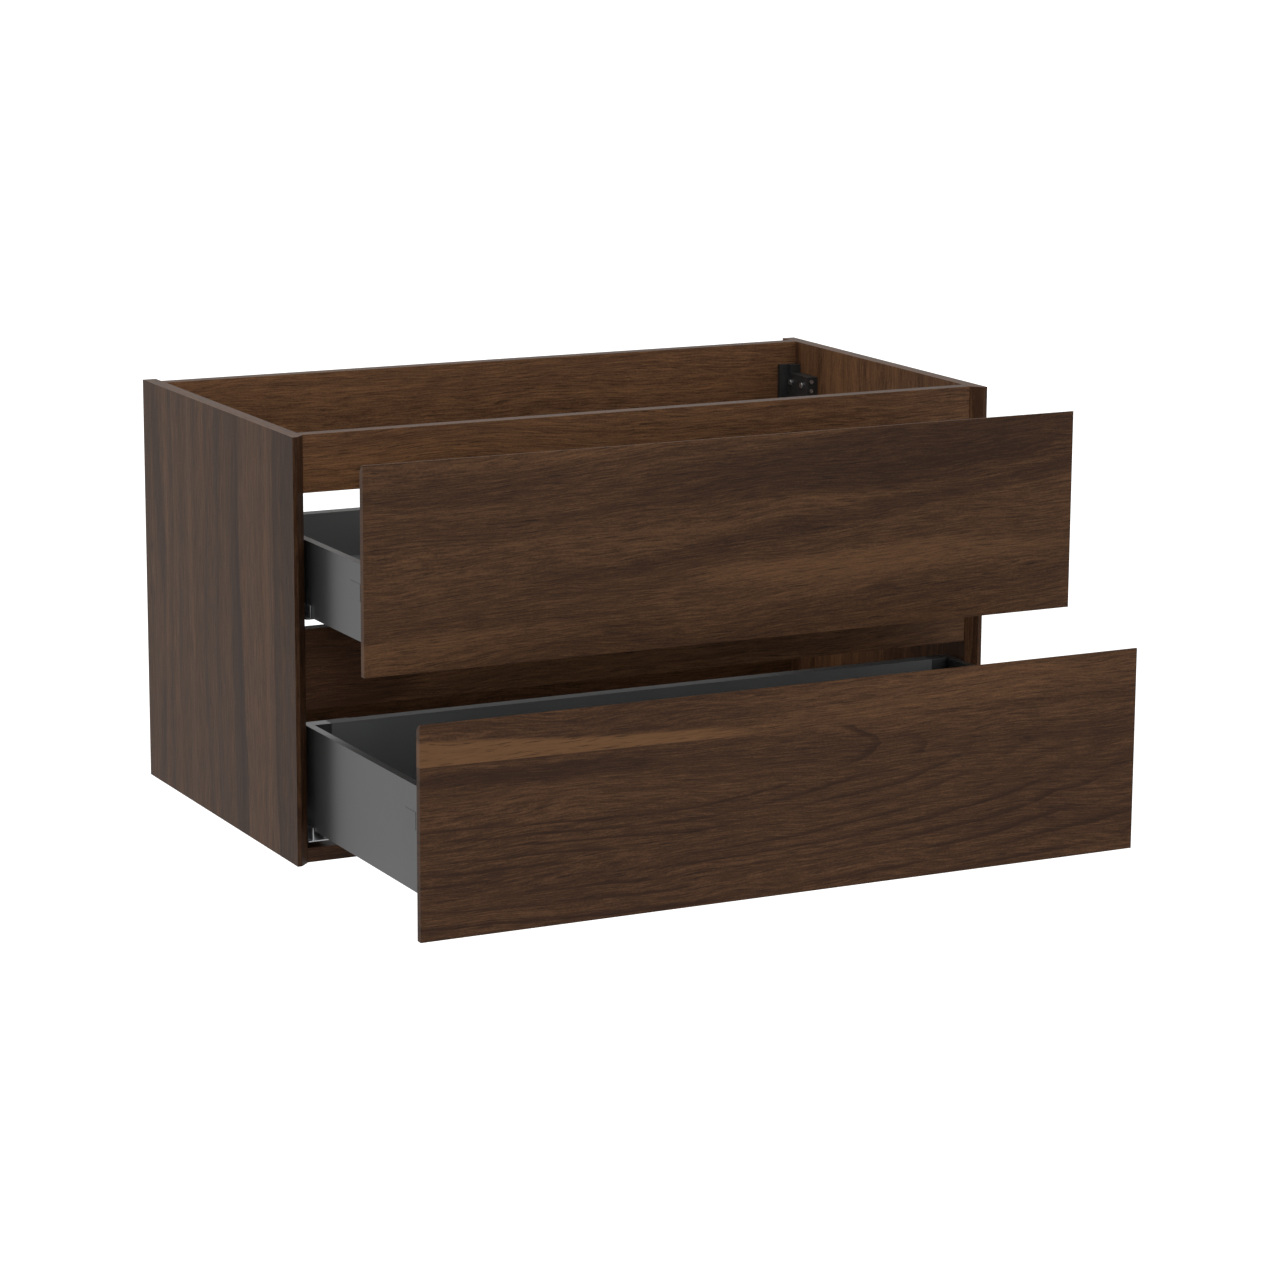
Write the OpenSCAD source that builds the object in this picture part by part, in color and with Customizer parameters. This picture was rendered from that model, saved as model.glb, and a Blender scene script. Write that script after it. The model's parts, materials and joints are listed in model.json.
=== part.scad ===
// Wall-hung bathroom vanity cabinet with two handle-less drawers and an open top for a basin.
// Authored from the cabinet's front (y = 0) to the wall (y = depth) and from its underside up,
// then moved so that the origin is the centre of the wall plates' holes, on the wall.

/* [Cabinet] */
// Outer width across the side panels
width = 860; // [600:5:1200]
// Outer depth of the side panels, from the front lips to the wall
depth = 460; // [445:5:560]
// Outer height of the side panels
height = 470; // [455:5:560]
// Thickness of every board
board = 16; // [15:0.5:19]
// Square lip left at the front of each side panel, outside its bevel
panel_lip = 5; // [3:0.5:7]
// How far the rear rails stand in from the wall, which makes room for the wall plates
wall_recess = 18; // [18:1:30]
// Smallest play between pieces that fit into each other, on each side
fit_gap = 0.05; // [0.02:0.01:0.1]

/* [Rails] */
// How far the front rails sit behind the side panels' bevels
rail_setback = 1; // [0:0.5:4]
// Height of the front top rail
front_top_rail_h = 63; // [50:1:80]
// Height of the front rail behind the gap between the drawer fronts
front_mid_rail_h = 89; // [60:1:100]
// How far the front mid rail reaches above the lower edge of the upper front
mid_rail_lap = 13; // [8:1:18]
// Height of the rear top rail, which carries the hangers' pull
rear_top_rail_h = 100; // [90:1:130]
// Height of the rear bottom rail
rear_bottom_rail_h = 100; // [60:1:130]

/* [Carcass fittings] */
// Diameter of the wooden dowels
dowel_d = 8; // [6:1:8]
// Length of the wooden dowels
dowel_l = 30; // [24:1:36]
// Depth of every hole in the inner faces of the side panels
panel_bore = 11; // [9:0.5:12]
// Distance of the dowels from the edges of the upright rails
dowel_edge = 14; // [12:1:20]
// Distance of the bottom panel's first dowel from its front and rear edges
bottom_dowel_edge = 40; // [30:5:80]
// Distance between a bottom panel's dowel and the cam next to it
bottom_cam_pitch = 32; // [24:1:64]
// Distance of an upright rail's cams below its upper dowels
cam_below_dowel = 18; // [16:1:24]
// Diameter of the cam housings
cam_d = 15; // [12:1:15]
// Depth of the cam housings
cam_l = 12.5; // [10:0.5:13]
// Distance of a cam's centre from the end of its board
cam_inset = 24; // [20:1:34]
// Diameter of the cam bolts' shafts
cam_bolt_d = 7; // [6:0.5:7]
// Diameter of the cam bolts' threads in the side panels
cam_thread_d = 5; // [4:0.5:6]

/* [Drawer fronts] */
// How far each front stops short of the side panel's outer face
front_side_gap = 1.75; // [1:0.25:3]
// Square part of the front's end, before its mitre
front_square = 8.2; // [6:0.2:10]
// Gap between the front's rear face and the side panels' lips, measured into the cabinet
front_sink = 2; // [1:0.5:4]
// Height of the lower front
lower_front_h = 226; // [200:1:240]
// Finger gap between the two fronts
finger_gap = 20; // [18:1:30]
// How far the upper front stops short of the cabinet's top
front_top_gap = 2; // [1:0.5:4]
// Flat left along a front's top edge, in front of its finger bevel
pull_flat = 2; // [1:0.5:5]

/* [Drawer boxes] */
// Nominal length of the drawer sides, and travel of the runners
box_l = 350; // [300:50:350]
// Gap between the drawer box and the side panels
box_gap = 6.6; // [6.4:0.2:9]
// Height of the upper drawer sides
upper_box_h = 82.5; // [70:0.5:100]
// Height of the lower drawer sides
lower_box_h = 113; // [83:1:120]
// Lower edge of the upper drawer sides above the lower edge of their front
upper_side_lift = 25.5; // [25.5:0.5:38]
// Lower edge of the lower drawer sides above the lower edge of their front
lower_side_lift = 36; // [25.5:0.5:38]
// Width of the hollow metal drawer sides
side_w = 9; // [8:0.5:14]
// Sheet thickness of the drawer sides, runners and brackets
sheet = 1.2; // [1:0.1:1.5]
// Width of the foot that carries the drawer base, inside the drawer side
foot_w = 28; // [26:1:34]
// Play between the drawer base and the drawer sides
base_play = 0.2; // [0.1:0.1:1]
// Distance of the bracket caps from the front's rear face
cap_inset = 42; // [20:1:60]
// Length of the bracket caps
cap_l = 27; // [16:1:30]
// Height of the bracket caps
cap_h = 19; // [8:1:24]
// Top of the upper drawer's caps below the top of its sides
upper_cap_drop = 21; // [5:1:30]
// Top of the lower drawer's caps below the top of its sides
lower_cap_drop = 28; // [5:1:40]
// Width of the back brackets
back_bracket_w = 20; // [18:0.5:34]
// How far the back brackets' tabs reach over the rear of the back
back_tab = 26; // [20:1:40]

/* [Runners] */
// Underside of each runner above the lower edge of its drawer front
runner_lift = 24; // [20:0.5:24]
// Height of a whole runner, up to the foot of the drawer sides
runner_h = 16; // [15:0.5:18]
// Distance of the fixed profiles' front end behind the side panels' lips
runner_front = 7; // [5:0.5:12]
// How much shorter the fixed profiles are than the drawer sides
runner_short = 22; // [16:1:30]
// Width of the fixed profile's bottom flange, from the side panel
flange_w = 32; // [31:0.5:33]
// Thickness of the fixed profile's bottom flange
flange_t = 1.2; // [1:0.1:1.2]
// Height of the fixed profile's wall flange
wall_flange_h = 28; // [26:1:34]
// How far the wall flange stands back from the fixed profile's front end
wall_flange_back = 10; // [8:1:20]
// Height of the fixed profile's inner lip
inner_lip_h = 6; // [4:0.5:7]
// Height of the fixed profile's web, beside the drawer side
web_h = 15.4; // [12:0.2:17]
// Gap between the web and the drawer side
web_gap = 0.8; // [0.5:0.1:1.5]
// Width of the drawer members under the sides' feet
member_w = 14; // [13:0.5:14]
// Height of the drawer members' legs
member_leg = 2.8; // [2:0.1:3]
// How much shorter the sliding middle members are than the drawer sides
middle_short = 70; // [60:1:90]
// Diameter of the lower rollers; the upper ones fill the height that is left
lower_roller_d = 5.6; // [5:0.1:6.4]
// Diameter of the roller pins
pin_d = 1.6; // [1.4:0.1:2]

/* [Wall hangers] */
// Width of the hanger housings
hanger_w = 14; // [12:1:20]
// Depth of the hanger housings
hanger_l = 56; // [50:1:70]
// Height of the hanger housings' rear part
hanger_h = 60; // [56:1:64]
// How much lower the hanger housings' front part is
hanger_step = 10; // [8:1:14]
// Length of the lower front part
hanger_step_l = 43; // [38:1:46]
// Wall of the hanger housings
hanger_wall = 2; // [1.5:0.5:2.5]
// Width of the housings' foot, beside their body
hanger_foot_w = 11; // [8:1:14]
// Thickness of the housings' foot, against the rear rail
hanger_foot_t = 6; // [4:1:8]
// Distance of the hanger housings' top from the cabinet's top
hanger_drop = 27; // [20:1:30]
// Fixing screws' height below the housings' top
hanger_screw_drop = 21.5; // [18:0.5:24]
// Distance between the two fixing screws of a housing
hanger_screw_pitch = 28; // [24:1:30]
// Diameter of the adjusting screws' heads
adjusting_screw_d = 5; // [4:0.5:6]
// Distance of the upper adjusting screw below the housings' top
adjusting_drop = 15.7; // [15:0.1:18]
// Distance between the two adjusting screws of a housing
adjusting_pitch = 11.7; // [9:0.1:14]
// Thickness of the hooks
hook_t = 3; // [2.5:0.5:4]
// Height of the hooks' shanks
hook_h = 12; // [10:1:12]
// Upward travel of the hooks
hook_rise = 10; // [4:1:10]
// Distance of the hooks' underside above the housings' underside
hook_lift = 14; // [12:1:15]
// Width of the wall plates
plate_w = 40; // [36:1:60]
// Thickness of the wall plates
plate_t = 2; // [1.5:0.5:3]
// Height of the wall plates
plate_h = 60; // [56:1:70]
// Height of the wall plates' lips above their shelf
lip_h = 6; // [5:0.5:8]
// Depth of the wall plates' shelf
shelf_l = 7; // [6:0.5:8]
// Diameter of the holes in the wall plates
plate_hole_d = 6.5; // [5:0.5:8]
// Distance between the two holes of a wall plate
plate_hole_pitch = 30; // [24:1:36]
// Distance of a wall plate's edge from the side panel
plate_inset = 2; // [1:0.5:6]

/* [Resting place of the drawers] */
// How far the upper drawer stands open
upper_open = 171; // [0:1:350]
// How far the lower drawer stands open
lower_open = 311; // [0:1:350]

/* [Hidden] */
$fn = 48;
// Extra length of a cutting shape past the face it opens
cut = 1;
// Overlap of shapes that are joined into one
join = 0.01;

// Cabinet planes
inner_x = width / 2 - board;
rail_y = board - panel_lip + rail_setback;
rear_y = depth - wall_recess;
rear_rail_y = rear_y - board;
lower_front_z = 0;
upper_front_z = lower_front_h + finger_gap;
upper_front_h = height - front_top_gap - upper_front_z;
mid_rail_z = upper_front_z + mid_rail_lap - front_mid_rail_h;

// Joints at the ends of the boards that run between the side panels: [y, z] places
dowel_bore_l = dowel_l - panel_bore + 2 * cut;
upright_y = [rail_y + board / 2, rail_y + board / 2, rear_rail_y + board / 2, rear_rail_y + board / 2];
upright_z = [height - front_top_rail_h, mid_rail_z, height - rear_top_rail_h, board];
upright_h = [front_top_rail_h, front_mid_rail_h, rear_top_rail_h, rear_bottom_rail_h];
upright_dowels = [for (i = [0:3]) for (z = [upright_z[i] + dowel_edge,
                                            upright_z[i] + upright_h[i] - dowel_edge])
                    [upright_y[i], z]];
upright_cams = [for (i = [0:3])
                  [upright_y[i], upright_z[i] + upright_h[i] - dowel_edge - cam_below_dowel]];
bottom_dowels = [for (y = [rail_y + bottom_dowel_edge, rear_y - bottom_dowel_edge]) [y, board / 2]];
bottom_cams = [for (y = [rail_y + bottom_dowel_edge + bottom_cam_pitch,
                         rear_y - bottom_dowel_edge - bottom_cam_pitch]) [y, board / 2]];

// Drawer planes, with the drawer closed
front_back_y = front_sink;
front_face_y = front_sink - board;
box_x = inner_x - box_gap;
side_in_x = box_x - side_w;
box_end_y = front_back_y + box_l;
side_mid_x = box_x - side_w / 2;
bracket_in_x = side_in_x - back_bracket_w;
base_t = board;
screw_clear = 0.2;
// Play of loose sheet parts inside a hollow side or a channel
sheet_play = 0.3;

// Heights that belong to one drawer, above the cabinet's underside:
// [front's lower edge, sides' lower edge, sides' top, runner's underside, cap's top]
function levels(front_z, side_lift, box_h, cap_drop) =
  [front_z, front_z + side_lift, front_z + side_lift + box_h, front_z + runner_lift,
   front_z + side_lift + box_h - cap_drop];
upper = levels(upper_front_z, upper_side_lift, upper_box_h, upper_cap_drop);
lower = levels(lower_front_z, lower_side_lift, lower_box_h, lower_cap_drop);
function side_z(level) = level[1];
function top_z(level) = level[2];
function runner_z(level) = level[3];
function cap_top(level) = level[4];
function foot_z(level) = runner_z(level) + runner_h;
function base_z(level) = foot_z(level) + sheet;
function floor_z(level) = base_z(level) + base_t;

// Runner section, from the side panel inwards and from the runner's underside up
member_in_x = inner_x - flange_w + sheet + 0.6;
member_out_x = member_in_x + member_w;
middle_out_x = member_out_x - sheet;
middle_in_x = member_in_x + 0.8;
web_x = box_x + web_gap;
leg_gap = 0.8;
middle_plate_z = flange_t + lower_roller_d + 2 * fit_gap;
middle_leg = middle_plate_z - flange_t - leg_gap;
lower_roller_z = flange_t + fit_gap + lower_roller_d / 2;
upper_roller_d = runner_h - 2 * sheet - middle_plate_z - 2 * fit_gap;
upper_roller_z = middle_plate_z + sheet + fit_gap + upper_roller_d / 2;
ear_gap = 0.4;
ear_l = 8;
ear_top = runner_h - sheet - ear_gap;
ear_in_x = member_in_x + sheet + ear_gap;
ear_out_x = member_out_x - sheet - ear_gap;
// The lower rollers sit in the rear part of a middle member and the upper ones in its front part,
// so that both stay under load through the whole travel
middle_front = runner_front + 10;
middle_l = box_l - middle_short;
upper_roller_ys = [for (share = [0.04, 0.27, 0.5]) middle_front + share * middle_l];
lower_roller_ys = [for (share = [0.66, 0.81, 0.96]) middle_front + share * middle_l];
middle_leg_y = lower_roller_ys[0] - ear_l;
member_ys = [front_back_y + 4, box_end_y - 6];

// Runner screws
runner_l = box_l - runner_short;
runner_screw_ys = [for (share = [0.08, 0.5, 0.94]) runner_front + share * runner_l];
runner_screw_z = wall_flange_h - 7;
screw_d = 3.5;
screw_head_d = 7;
screw_head_h = 2;

// Screws of the drawer boxes and the brackets behind the fronts
small_head_d = 6;
base_screw_x = side_in_x - foot_w + 5;
base_screw_ys = [for (share = [0.12, 0.5, 0.88]) front_back_y + share * box_l];
back_screw_x = bracket_in_x - back_tab / 2;
back_screw_edge = 14;
front_screw_edge = 9;
front_screw_pitch = 48;
bracket_t = 1.5;
bracket_plate_z = [3, 62];
bracket_tongue_z = [14, 44];
bracket_tongue_l = 62;
cap_play = 0.15;
cap_proud = 0.3;

// Wall hangers
hanger_top = height - hanger_drop;
hanger_z = hanger_top - hanger_h;
hanger_y = rear_rail_y - hanger_l;
hanger_x = inner_x - hanger_w;
hook_x = inner_x - hanger_w / 2;
hook_z = hanger_z + hook_lift;
hook_front_gap = 14;
hook_play = 0.3;
hook_bite = 4;
hook_slot_play = 3;
hook_chamfer = 4;
hanger_first_screw = 14;
adjusting_inset = 8;
slot_w = 0.9;
lip_y = depth - plate_t - shelf_l;
lip_top = hook_z + hook_bite;
shelf_top = lip_top - lip_h;
plate_below_shelf = 5;
plate_hole_edge = 10;
plate_z = shelf_top - plate_t - plate_below_shelf;
plate_x = inner_x - plate_inset - plate_w / 2;
hang_z = plate_z + plate_h - plate_hole_edge - plate_hole_pitch / 2;
adjusting_x = hook_x - 1.5;

// Ends of pins and screws short of the bottom of their bores
bore_rest = 0.5;
cam_rest = 0.5;
cross_w = 1.5;
cross_deep = 2;

walnut = [0.27, 0.19, 0.15];
walnut_light = [0.36, 0.28, 0.24];
anthracite = [0.33, 0.335, 0.34];
zinc = [0.68, 0.69, 0.70];
black_plastic = [0.07, 0.07, 0.075];
beech = [0.78, 0.66, 0.48];
ivory = [0.93, 0.91, 0.84];

// ---------- placing ----------
module cabinet() { translate([0, -depth, -hang_z]) children(); }
module drawer(open) { cabinet() translate([0, -open, 0]) children(); }
module left() { mirror([1, 0, 0]) children(); }
module both() { children(); left() children(); }
module block(x, y, z) {
  translate([x[0], y[0], z[0]]) cube([x[1] - x[0], y[1] - y[0], z[1] - z[0]]);
}
// Round bar along X from x0 to x1 at [y, z]
module bar_x(d, x0, x1, y, z) {
  translate([x0, y, z]) rotate([0, 90, 0]) cylinder(d = d, h = x1 - x0);
}
// Round bar along Y from y0 to y1 at [x, z]
module bar_y(d, y0, y1, x, z) {
  translate([x, y1, z]) rotate([90, 0, 0]) cylinder(d = d, h = y1 - y0);
}
// Round bar along Z from z0 to z1 at [x, y]
module bar_z(d, z0, z1, x, y) { translate([x, y, z0]) cylinder(d = d, h = z1 - z0); }

// ---------- carcass ----------
module side_panel() {
  cabinet() difference() {
    linear_extrude(height) polygon([
      [inner_x, board - panel_lip], [width / 2 - panel_lip, 0], [width / 2, 0],
      [width / 2, depth], [inner_x, depth]]);
    for (p = concat(upright_dowels, bottom_dowels))
      bar_x(dowel_d + 2 * fit_gap, inner_x - cut, inner_x + panel_bore, p[0], p[1]);
    for (p = concat(upright_cams, bottom_cams))
      bar_x(cam_thread_d + 2 * fit_gap, inner_x - cut, inner_x + panel_bore, p[0], p[1]);
    for (y = runner_screw_ys, level = [lower, upper])
      bar_x(screw_d + 2 * fit_gap, inner_x - cut, inner_x + panel_bore,
            y, runner_z(level) + runner_screw_z);
    for (p = hanger_screw_places())
      bar_x(screw_d + 2 * fit_gap, inner_x - cut, inner_x + panel_bore, p[0], p[1]);
  }
}
module side_panel_left() { color(walnut) left() side_panel(); }
module side_panel_right() { color(walnut) side_panel(); }

// Holes in the end of a board: dowels and cam bolts
module end_bores(dowels, cams) {
  both() {
    for (p = dowels)
      bar_x(dowel_d + 2 * fit_gap, inner_x - dowel_bore_l, inner_x + cut, p[0], p[1]);
    for (p = cams) bar_x(cam_bolt_d + 2 * fit_gap, inner_x - cam_inset, inner_x + cut, p[0], p[1]);
  }
}
module upright_rail(i) {
  y = upright_y[i] - board / 2;
  difference() {
    block([-inner_x, inner_x], [y, y + board], [upright_z[i], upright_z[i] + upright_h[i]]);
    end_bores([upright_dowels[2 * i], upright_dowels[2 * i + 1]], [upright_cams[i]]);
    both() bar_y(cam_d + 2 * fit_gap, y + board - cam_l, y + board + cut,
                 inner_x - cam_inset, upright_cams[i][1]);
  }
}
module bottom_panel() {
  color(walnut) cabinet() difference() {
    block([-inner_x, inner_x], [rail_y, rear_y], [0, board]);
    end_bores(bottom_dowels, bottom_cams);
    for (p = bottom_cams)
      both() bar_z(cam_d + 2 * fit_gap, board - cam_l, board + cut, inner_x - cam_inset, p[0]);
  }
}
module front_top_rail() { color(walnut) cabinet() upright_rail(0); }
module front_mid_rail() { color(walnut) cabinet() upright_rail(1); }
module rear_top_rail() {
  color(walnut) cabinet() difference() {
    upright_rail(2);
    both() block([hook_x - hook_t / 2 - hook_slot_play, hook_x + hook_t / 2 + hook_slot_play],
                 [rear_rail_y - cut, rear_y + cut],
                 [hook_z - hook_slot_play, hook_z + hook_h + hook_rise + hook_slot_play]);
  }
}
module rear_bottom_rail() { color(walnut) cabinet() upright_rail(3); }
module wood_dowels() {
  color(beech) cabinet() both() for (p = concat(upright_dowels, bottom_dowels))
    bar_x(dowel_d, inner_x - dowel_l + panel_bore - bore_rest, inner_x + panel_bore - bore_rest,
          p[0], p[1]);
}
// A cam is a disc with a cross-slot on its face and a hole for the bolt's head
module cam() {
  difference() {
    cylinder(d = cam_d, h = cam_l - cam_rest);
    for (a = [0, 90]) rotate([0, 0, a])
      block([-cam_d / 2 + cross_deep, cam_d / 2 - cross_deep], [-cross_w / 2, cross_w / 2],
            [cam_l - cross_deep, cam_l]);
    translate([0, 0, cam_l - board / 2]) rotate([0, 90, 0])
      cylinder(d = cam_bolt_d + 2 * sheet_play, h = cam_d);
  }
}
module cam_housings() {
  color(zinc) cabinet() both() {
    for (p = upright_cams)
      translate([inner_x - cam_inset, p[0] + board / 2 - cam_l, p[1]]) rotate([-90, 0, 0]) cam();
    for (p = bottom_cams) translate([inner_x - cam_inset, p[0], board - cam_l]) cam();
  }
}
module cam_bolts() {
  color(zinc) cabinet() both() for (p = concat(upright_cams, bottom_cams)) {
    bar_x(cam_bolt_d, inner_x - cam_inset + 1, inner_x, p[0], p[1]);
    bar_x(cam_thread_d, inner_x, inner_x + panel_bore - bore_rest, p[0], p[1]);
  }
}

// ---------- wall hangers ----------
function hanger_screw_places() =
  [for (y = [0, hanger_screw_pitch])
     [hanger_y + hanger_first_screw + y, hanger_top - hanger_screw_drop]];
module hanger_housing() {
  w = hanger_wall;
  step_y = hanger_y + hanger_step_l;
  cabinet() difference() {
    union() {
      block([hanger_x, inner_x], [step_y, rear_rail_y], [hanger_z, hanger_top]);
      block([hanger_x, inner_x], [hanger_y, step_y], [hanger_z, hanger_top - hanger_step]);
      block([hanger_x - hanger_foot_w, inner_x], [rear_rail_y - hanger_foot_t, rear_rail_y],
            [hanger_z, hanger_top]);
    }
    block([hanger_x + w, inner_x - w], [step_y + w, rear_rail_y + cut], [hanger_z + w, hanger_top - w]);
    block([hanger_x + w, inner_x - w], [hanger_y + w, step_y + w + cut],
          [hanger_z + w, hanger_top - hanger_step - w]);
    for (p = hanger_screw_places())
      bar_x(screw_d + 2 * screw_clear, hanger_x - cut, inner_x + cut, p[0], p[1]);
    for (z = adjusting_screw_zs())
      bar_y(adjusting_screw_d + 2 * screw_clear, hanger_y - cut, hanger_y + w + cut, adjusting_x, z);
  }
}
function adjusting_screw_zs() =
  [for (z = [0, adjusting_pitch]) hanger_top - adjusting_drop - z];
module hanger_housing_left() { color(black_plastic) left() hanger_housing(); }
module hanger_housing_right() { color(black_plastic) hanger_housing(); }
module hanger_fixing_screws() {
  color(zinc) cabinet() both() for (p = hanger_screw_places()) {
    bar_x(screw_head_d, hanger_x - screw_head_h, hanger_x, p[0], p[1]);
    bar_x(screw_d, hanger_x, inner_x + panel_bore - bore_rest, p[0], p[1]);
  }
}
module hanger_adjusting_screws() {
  color(zinc) cabinet() both() for (z = adjusting_screw_zs()) difference() {
    bar_y(adjusting_screw_d, hanger_y - 1, hanger_y + hanger_wall + adjusting_inset, adjusting_x, z);
    translate([adjusting_x, hanger_y - 0.5, z])
      for (a = [0, 90]) rotate([0, a, 0])
        cube([adjusting_screw_d - cross_w, cross_deep, slot_w], center = true);
  }
}
// Flat hook: a shank from inside the housing through the rail, and a head over the plate's lip
module hanger_hook() {
  y0 = hanger_y + hook_front_gap;
  notch_0 = lip_y - hook_play;
  notch_1 = lip_y + plate_t + hook_play;
  cabinet() translate([hook_x + hook_t / 2, 0, 0]) rotate([90, 0, -90]) mirror([1, 0, 0])
    linear_extrude(hook_t) polygon([
      [y0, hook_z], [notch_0, hook_z], [notch_0, lip_top], [notch_1, lip_top],
      [notch_1, hook_z - 1], [depth - plate_t - 1, hook_z - 1],
      [depth - plate_t - 1, hook_z + hook_h - hook_chamfer],
      [depth - plate_t - 1 - hook_chamfer, hook_z + hook_h],
      [y0, hook_z + hook_h]]);
}
module hanger_hook_left() { color(zinc) left() hanger_hook(); }
module hanger_hook_right() { color(zinc) hanger_hook(); }
module wall_plate() {
  x = [plate_x - plate_w / 2, plate_x + plate_w / 2];
  cabinet() difference() {
    union() {
      block(x, [depth - plate_t, depth], [plate_z, plate_z + plate_h]);
      block(x, [lip_y, depth - plate_t + join], [shelf_top - plate_t, shelf_top]);
      block(x, [lip_y, lip_y + plate_t], [shelf_top - join, lip_top]);
    }
    for (z = [hang_z - plate_hole_pitch / 2, hang_z + plate_hole_pitch / 2])
      bar_y(plate_hole_d, depth - plate_t - cut, depth + cut, plate_x, z);
  }
}
module wall_plate_left() { color(zinc) left() wall_plate(); }
module wall_plate_right() { color(zinc) wall_plate(); }

// ---------- runners ----------
module runner_profile(level) {
  z = runner_z(level);
  ys = [runner_front, runner_front + runner_l];
  cabinet() difference() {
    union() {
      block([inner_x - flange_w, inner_x], ys, [z, z + flange_t]);
      block([inner_x - flange_w, inner_x - flange_w + sheet], ys, [z, z + inner_lip_h]);
      block([web_x, web_x + sheet], ys, [z, z + web_h]);
      block([inner_x - sheet, inner_x], [ys[0] + wall_flange_back, ys[1]], [z, z + wall_flange_h]);
    }
    for (y = runner_screw_ys)
      bar_x(screw_d + 2 * screw_clear, inner_x - sheet - cut, inner_x + cut, y, z + runner_screw_z);
  }
}
module upper_runner_profile_left() { color(zinc) left() runner_profile(upper); }
module upper_runner_profile_right() { color(zinc) runner_profile(upper); }
module lower_runner_profile_left() { color(zinc) left() runner_profile(lower); }
module lower_runner_profile_right() { color(zinc) runner_profile(lower); }
module runner_screws() {
  x = inner_x - sheet;
  color(zinc) cabinet() both() for (y = runner_screw_ys, level = [lower, upper]) {
    z = runner_z(level) + runner_screw_z;
    bar_x(screw_head_d, x - screw_head_h, x, y, z);
    bar_x(screw_d, x, inner_x + panel_bore - bore_rest, y, z);
  }
}
// Middle member: a plate with legs for the lower rollers and ears for the upper ones
module middle_member(level, open) {
  ys = [middle_front, middle_front + middle_l];
  cabinet() translate([0, -open / 2, runner_z(level)]) difference() {
    union() {
      block([middle_in_x, middle_out_x], ys, [middle_plate_z, middle_plate_z + sheet]);
      for (x = [middle_in_x, middle_out_x - sheet])
        block([x, x + sheet], [middle_leg_y, ys[1]],
              [middle_plate_z - middle_leg, middle_plate_z + join]);
      for (y = upper_roller_ys, x = [ear_in_x, ear_out_x - sheet])
        block([x, x + sheet], [y - ear_l / 2, y + ear_l / 2], [middle_plate_z + sheet - join, ear_top]);
    }
    for (y = lower_roller_ys)
      bar_x(pin_d + 2 * fit_gap, middle_in_x - cut, middle_out_x + cut, y, lower_roller_z);
    for (y = upper_roller_ys)
      bar_x(pin_d + 2 * fit_gap, middle_in_x - cut, middle_out_x + cut, y, upper_roller_z);
  }
}
module upper_middle_member_left() { color(zinc) left() middle_member(upper, upper_open); }
module upper_middle_member_right() { color(zinc) middle_member(upper, upper_open); }
module lower_middle_member_left() { color(zinc) left() middle_member(lower, lower_open); }
module lower_middle_member_right() { color(zinc) middle_member(lower, lower_open); }
module rollers(level, open) {
  play = sheet + sheet_play;
  cabinet() translate([0, -open / 2, runner_z(level)]) both() {
    for (y = lower_roller_ys) {
      bar_x(lower_roller_d, middle_in_x + play, middle_out_x - play, y, lower_roller_z);
      bar_x(pin_d, middle_in_x, middle_out_x, y, lower_roller_z);
    }
    for (y = upper_roller_ys) {
      bar_x(upper_roller_d, ear_in_x + play, ear_out_x - play, y, upper_roller_z);
      bar_x(pin_d, ear_in_x, ear_out_x, y, upper_roller_z);
    }
  }
}
module upper_rollers() { color(ivory) rollers(upper, upper_open); }
module lower_rollers() { color(ivory) rollers(lower, lower_open); }

// ---------- drawers ----------
// Wooden front: mitred ends, and a finger bevel that falls back from the top edge
module drawer_front(open, level, h) {
  half = width / 2 - front_side_gap;
  mitre = board - front_square;
  z = level[0];
  drawer(open) difference() {
    translate([0, 0, z]) linear_extrude(h) polygon([
      [-half, front_face_y], [half, front_face_y], [half, front_face_y + front_square],
      [half - mitre, front_back_y], [-half + mitre, front_back_y],
      [-half, front_face_y + front_square]]);
    bevel_prism(half + cut, front_face_y + pull_flat, z + h, board - pull_flat);
    both() for (s = front_screw_zs(level))
      bar_y(screw_d + 2 * fit_gap, front_back_y - panel_bore, front_back_y + cut, side_mid_x, s);
  }
}
// Wedge that takes the rear top corner off a front
module bevel_prism(half, y, z, size) {
  translate([-half, 0, 0]) rotate([90, 0, 90]) linear_extrude(2 * half) polygon([
    [y, z], [y + size + cut, z - size - cut], [y + size + cut, z + cut], [y, z + cut]]);
}
function front_screw_zs(level) =
  [for (z = [0, front_screw_pitch]) foot_z(level) + front_screw_edge + z];
function back_screw_zs(level) = [floor_z(level) + back_screw_edge, top_z(level) - back_screw_edge];
module upper_front() { color(walnut) drawer_front(upper_open, upper, upper_front_h); }
module lower_front() { color(walnut) drawer_front(lower_open, lower, lower_front_h); }

// Hollow folded side: its outer sheet hangs down beside the runner, a foot carries the drawer base,
// and a window takes the bracket cap
module drawer_side(open, level) {
  z = foot_z(level);
  ys = [front_back_y, box_end_y];
  drawer(open) difference() {
    union() {
      block([side_in_x, box_x], ys, [z, top_z(level)]);
      block([box_x - sheet, box_x], ys, [side_z(level), top_z(level)]);
      block([side_in_x - foot_w, side_in_x + join], ys, [z, z + sheet]);
    }
    block([side_in_x + sheet, box_x - sheet], [ys[0] - cut, ys[1] + cut],
          [z + sheet, top_z(level) - sheet]);
    block([box_x - sheet - cut, box_x + cut], cap_y(0), cap_z(level, 0));
    for (y = base_screw_ys) bar_z(screw_d + 2 * screw_clear, z - cut, z + sheet + cut, base_screw_x, y);
  }
}
function cap_y(play) = [front_back_y + cap_inset + play, front_back_y + cap_inset + cap_l - play];
function cap_z(level, play) = [cap_top(level) - cap_h + play, cap_top(level) - play];
module upper_side_left() { color(anthracite) left() drawer_side(upper_open, upper); }
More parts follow.
